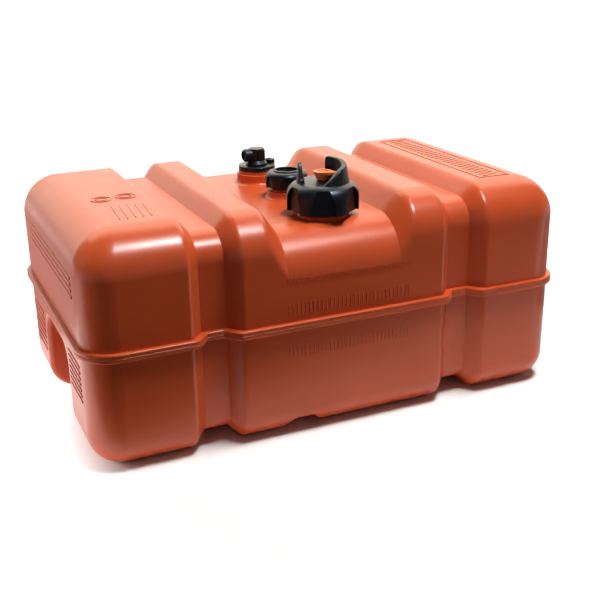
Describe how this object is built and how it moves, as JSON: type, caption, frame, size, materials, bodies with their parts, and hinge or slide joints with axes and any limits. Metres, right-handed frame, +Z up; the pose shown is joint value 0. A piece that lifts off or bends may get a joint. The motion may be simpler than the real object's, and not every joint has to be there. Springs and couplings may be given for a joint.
{
  "type": "outboard fuel tank",
  "caption": "Moulded portable fuel tank of two welded shells with strap channels, hand grips, a vented screw cap, a float gauge and a swivelling pickup port.",
  "frame": {"origin": "on the floor, under the middle of the tank's joint flange", "axes": "+X along the tank, towards the end farther from the drain channel; +Y from the cap towards the pickup; +Z up"},
  "size_m": [0.621, 0.379, 0.3112],
  "materials": {
    "tank_plastic": "moulded polyethylene, satin",
    "black_plastic": "moulded, satin",
    "lever_plastic": "moulded, satin",
    "liner_plastic": "moulded, natural",
    "lens_plastic": "clear moulded window",
    "dial_card": "printed card",
    "needle_paint": "painted",
    "float_foam": "closed-cell foam",
    "seal_rubber": "nitrile",
    "steel": "drawn wire",
    "black_screw": "black oxide",
    "brass": "turned",
    "aluminium": "plain"
  },
  "bodies": {
    "tank": {"lower_shell": "tank_plastic", "upper_shell": "tank_plastic", "gauge_ring": "black_plastic", "gauge_lens": "lens_plastic", "gauge_dial": "dial_card", "gauge_body": "liner_plastic", "gauge_gasket": "seal_rubber", "gauge_rods": "aluminium", "gauge_foot": "liner_plastic", "pickup_flange": "black_plastic", "pickup_gasket": "seal_rubber", "pickup_screws": "black_screw", "pickup_inserts": "brass"},
    "cap_seal": {"cap_gasket": "seal_rubber"},
    "cap": {"cap_shell": "black_plastic", "cap_liner": "liner_plastic", "vent_spring": "steel"},
    "vent": {"vent_lever": "lever_plastic", "vent_stem": "liner_plastic", "vent_seal": "seal_rubber"},
    "pointer": {"gauge_strip": "aluminium", "gauge_needle": "needle_paint"},
    "float": {"gauge_float": "float_foam"},
    "elbow": {"pickup_elbow": "black_plastic", "elbow_o_ring": "seal_rubber", "elbow_clip": "steel", "pickup_tube": "liner_plastic", "pickup_filter": "liner_plastic"}
  },
  "joints": [
    {"name": "cap_lift", "type": "slide", "parent": "tank", "child": "cap_seal", "axis": [0, 0, 1], "range_m": [0, 0.015]},
    {"name": "cap_turn", "type": "hinge", "parent": "cap_seal", "child": "cap", "pos_m": [0.004, -0.114, 0.27], "axis": [0, 0, 1], "range_deg": [0, 900]},
    {"name": "vent_turn", "type": "hinge", "parent": "cap", "child": "vent", "pos_m": [0.004, -0.114, 0.29], "axis": [0, 0, 1], "range_deg": [-90, 0]},
    {"name": "float_travel", "type": "slide", "parent": "tank", "child": "float", "axis": [0, 0, 1], "range_m": [0, 0.185]},
    {"name": "needle_turn", "type": "hinge", "parent": "tank", "child": "pointer", "pos_m": [0, -0.016, 0.27], "axis": [0, 0, -1], "range_deg": [0, 300]},
    {"name": "elbow_swivel", "type": "hinge", "parent": "tank", "child": "elbow", "pos_m": [-0.004, 0.077, 0.27], "axis": [0, 0, 1], "continuous": true}
  ],
  "couplings": [
    {"joint": "cap_lift", "follows": "cap_turn", "m_per_rad": 0.00095493},
    {"joint": "needle_turn", "follows": "float_travel", "rad_per_m": 28.302}
  ]
}
